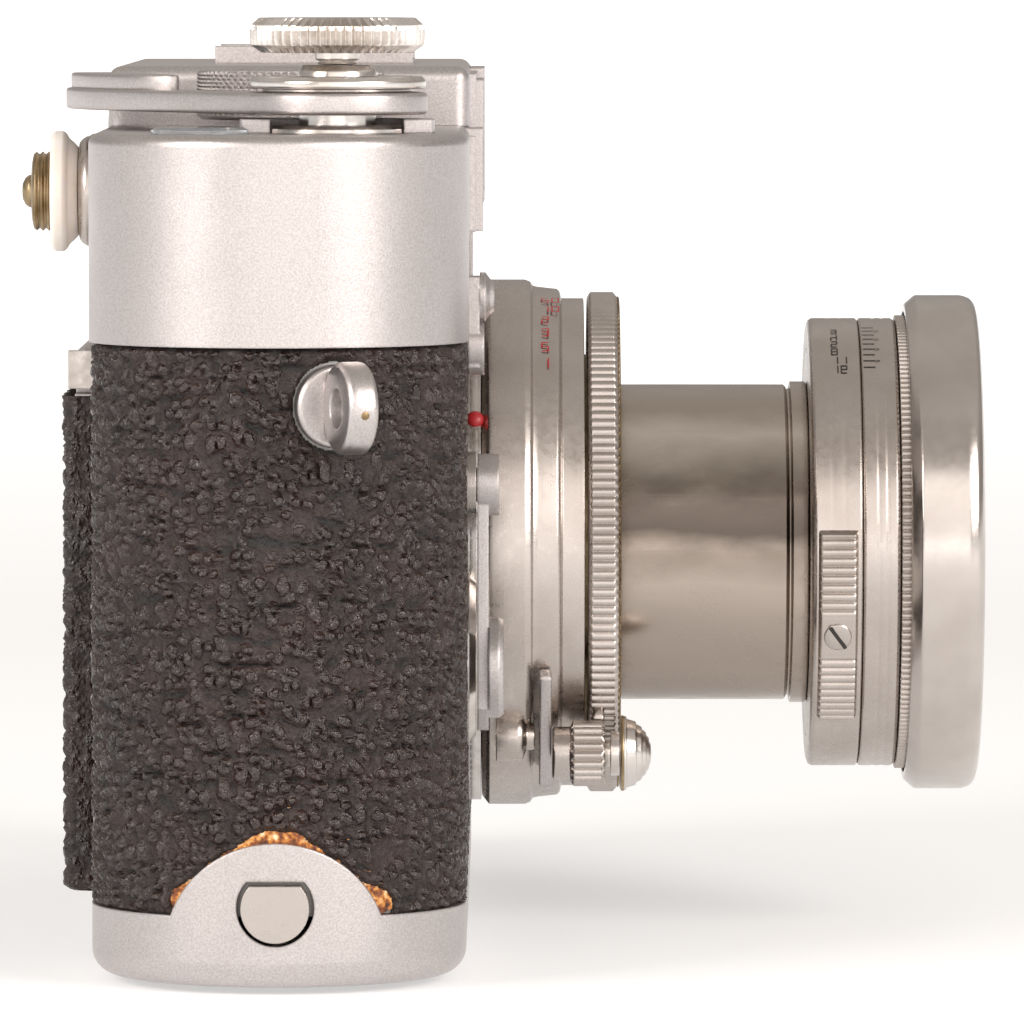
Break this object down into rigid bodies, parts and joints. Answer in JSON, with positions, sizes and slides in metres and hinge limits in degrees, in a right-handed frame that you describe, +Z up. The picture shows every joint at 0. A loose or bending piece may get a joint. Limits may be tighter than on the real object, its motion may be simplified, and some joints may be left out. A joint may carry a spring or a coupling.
{
  "type": "rangefinder camera",
  "caption": "Chrome rangefinder film camera with pebbled covering, a collapsible lens with its slip-on cap, a winding lever, a soft release, and a plug-in terminal on the back",
  "frame": {"origin": "centre of the base plate's underside", "axes": "+Z up, the lens faces -Y, the winding end is at -X"},
  "size_m": [0.1514, 0.0855, 0.0821],
  "materials": {
    "satin_chrome": "satin",
    "bright_chrome": "polished",
    "lens_chrome": "brushed, slightly worn",
    "tube_chrome": "polished, stained",
    "steel": "turned",
    "black_leather": "pebbled vulcanised covering",
    "black_metal": "matt black",
    "cast_alloy": "cast",
    "ivory_plastic": "satin ivory",
    "brass": "aged",
    "glass": "coated"
  },
  "bodies": {
    "camera_body": {"body_shell": "cast_alloy", "body_covering": "black_leather", "film_gate": "black_metal", "lens_tunnel": "black_metal", "focal_plane_shutter": "black_metal", "mount_ring": "bright_chrome", "mount_screws": "steel", "strap_lugs": "bright_chrome", "base_stud": "steel", "top_cover": "satin_chrome", "window_bezels": "satin_chrome", "window_glasses": "glass", "finder_block": "black_metal", "accessory_shoe": "satin_chrome", "sync_sockets": "bright_chrome", "lever_stop_plate": "satin_chrome", "lever_spindle": "bright_chrome", "counter_window": "glass", "door_hinge": "steel", "self_timer_post": "steel", "lens_release_guard": "bright_chrome"},
    "advance_lever": {"advance_lever": "satin_chrome", "lever_collar": "bright_chrome"},
    "release_button": {"release_button": "bright_chrome", "soft_release": "bright_chrome"},
    "shutter_dial": {"shutter_dial": "satin_chrome"},
    "rewind_sleeve": {"rewind_sleeve": "steel"},
    "rewind_knob": {"rewind_knob": "satin_chrome", "rewind_fork": "steel"},
    "take_up_spool": {"take_up_spool": "black_metal"},
    "film_sprocket": {"film_sprocket": "steel"},
    "counter_disc": {"counter_disc": "black_metal"},
    "back_door": {"back_door": "satin_chrome", "back_door_covering": "black_leather", "pressure_plate": "black_metal"},
    "film_reminder_dial": {"film_reminder_dial": "satin_chrome"},
    "base_plate": {"base_plate": "satin_chrome", "tripod_bush": "steel"},
    "base_key": {"base_key": "bright_chrome"},
    "key_bail": {"key_bail": "bright_chrome"},
    "rewind_release_lever": {"rewind_release_lever": "satin_chrome"},
    "self_timer_lever": {"self_timer_lever": "satin_chrome"},
    "frame_selector": {"frame_selector": "satin_chrome"},
    "lens_release_button": {"lens_release_button": "bright_chrome"},
    "lens": {"lens_barrel": "lens_chrome"},
    "helicoid": {"helicoid": "brass"},
    "focus_ring": {"focus_ring": "lens_chrome", "infinity_lock_block": "lens_chrome"},
    "infinity_lock_button": {"infinity_lock_button": "lens_chrome"},
    "lens_tube": {"collapsible_tube": "tube_chrome", "lens_head": "lens_chrome", "front_bead_ring": "lens_chrome", "iris_leaves": "black_metal", "lens_elements": "glass", "rear_lens_cell": "black_metal"},
    "aperture_ring": {"aperture_ring": "lens_chrome", "aperture_grips": "lens_chrome"},
    "lens_cap": {"lens_cap": "bright_chrome"},
    "sync_adapter": {"adapter_flange": "ivory_plastic", "adapter_terminal": "brass"}
  },
  "joints": [
    {"name": "lever_wind", "type": "hinge", "parent": "camera_body", "child": "advance_lever", "pos_m": [-0.055, -0.00509, 0.074], "axis": [0, 0, 1], "range_deg": [0, 140], "stiffness_Nm_per_rad": 0.004},
    {"name": "release_press", "type": "slide", "parent": "camera_body", "child": "release_button", "axis": [0, 0, -1], "range_m": [0, 0.0018], "stiffness_N_per_m": 60},
    {"name": "dial_turn", "type": "hinge", "parent": "camera_body", "child": "shutter_dial", "pos_m": [-0.031, -0.0006, 0.075], "axis": [0, 0, 1], "range_deg": [-150, 150]},
    {"name": "rewind_lift", "type": "slide", "parent": "camera_body", "child": "rewind_sleeve", "axis": [0, 0, 1], "range_m": [0, 0.003]},
    {"name": "rewind_turn", "type": "hinge", "parent": "rewind_sleeve", "child": "rewind_knob", "pos_m": [0.057, 0, 0.075], "axis": [0, 0, 1], "continuous": true},
    {"name": "spool_turn", "type": "hinge", "parent": "camera_body", "child": "take_up_spool", "pos_m": [-0.0455, 0.0025, 0.03], "axis": [0, 0, 1], "range_deg": [0, 362]},
    {"name": "sprocket_turn", "type": "hinge", "parent": "camera_body", "child": "film_sprocket", "pos_m": [-0.0355, -0.0075, 0.03], "axis": [0, 0, 1], "range_deg": [0, 362]},
    {"name": "counter_turn", "type": "hinge", "parent": "camera_body", "child": "counter_disc", "pos_m": [-0.0605, 0.0065, 0.068], "axis": [0, 0, 1], "range_deg": [0, 10]},
    {"name": "door_open", "type": "hinge", "parent": "camera_body", "child": "back_door", "pos_m": [0, 0.01745, 0.05165], "axis": [1, 0, 0], "range_deg": [0, 95]},
    {"name": "reminder_turn", "type": "hinge", "parent": "back_door", "child": "film_reminder_dial", "pos_m": [0, 0.0185, 0.03], "axis": [0, 1, 0], "range_deg": [-160, 160]},
    {"name": "base_unhook", "type": "hinge", "parent": "camera_body", "child": "base_plate", "pos_m": [-0.0696, 0, 0.0124], "axis": [0, 1, 0], "range_deg": [0, 30]},
    {"name": "key_turn", "type": "hinge", "parent": "base_plate", "child": "base_key", "pos_m": [0.053, 0, 0.001], "axis": [0, 0, 1], "range_deg": [0, 180]},
    {"name": "bail_lift", "type": "hinge", "parent": "base_key", "child": "key_bail", "pos_m": [0.053, 0, 0.0005], "axis": [0, -1, 0], "range_deg": [0, 90]},
    {"name": "rewind_release_turn", "type": "hinge", "parent": "camera_body", "child": "rewind_release_lever", "pos_m": [-0.0315, -0.016, 0.0529], "axis": [0, -1, 0], "range_deg": [0, 70]},
    {"name": "self_timer_wind", "type": "hinge", "parent": "camera_body", "child": "self_timer_lever", "pos_m": [-0.038, -0.017, 0.0412], "axis": [0, 1, 0], "range_deg": [0, 120]},
    {"name": "frame_select", "type": "hinge", "parent": "camera_body", "child": "frame_selector", "pos_m": [0.03, -0.017, 0.045], "axis": [0, 1, 0], "range_deg": [-18, 18], "stiffness_Nm_per_rad": 0.004},
    {"name": "lens_unlock", "type": "slide", "parent": "camera_body", "child": "lens_release_button", "axis": [0, 1, 0], "range_m": [0, 0.0012], "stiffness_N_per_m": 60},
    {"name": "lens_twist", "type": "hinge", "parent": "camera_body", "child": "lens", "pos_m": [-0.003, 0, 0.0342], "axis": [0, -1, 0], "range_deg": [0, 60]},
    {"name": "focus_travel", "type": "slide", "parent": "lens", "child": "helicoid", "axis": [0, -1, 0], "range_m": [0, 0.0029]},
    {"name": "focus_turn", "type": "hinge", "parent": "helicoid", "child": "focus_ring", "pos_m": [-0.003, 0, 0.0342], "axis": [0, -1, 0], "range_deg": [0, 170]},
    {"name": "infinity_unlock", "type": "slide", "parent": "focus_ring", "child": "infinity_lock_button", "axis": [0, 1, 0], "range_m": [0, 0.0012], "stiffness_N_per_m": 60},
    {"name": "tube_collapse", "type": "slide", "parent": "helicoid", "child": "lens_tube", "axis": [0, 1, 0], "range_m": [0, 0.0154]},
    {"name": "aperture_turn", "type": "hinge", "parent": "lens_tube", "child": "aperture_ring", "pos_m": [-0.003, 0, 0.0342], "axis": [0, -1, 0], "range_deg": [-50, 50]},
    {"name": "cap_pull", "type": "slide", "parent": "lens_tube", "child": "lens_cap", "axis": [0, -1, 0], "range_m": [0, 0.02]},
    {"name": "adapter_pull", "type": "slide", "parent": "camera_body", "child": "sync_adapter", "axis": [0, 1, 0], "range_m": [0, 0.008]}
  ],
  "couplings": [
    {"joint": "spool_turn", "follows": "lever_wind", "ratio": 2.5714},
    {"joint": "sprocket_turn", "follows": "lever_wind", "ratio": 2.5714},
    {"joint": "counter_turn", "follows": "lever_wind", "ratio": 0.0643},
    {"joint": "focus_travel", "follows": "focus_turn", "m_per_rad": 0.0009437}
  ]
}
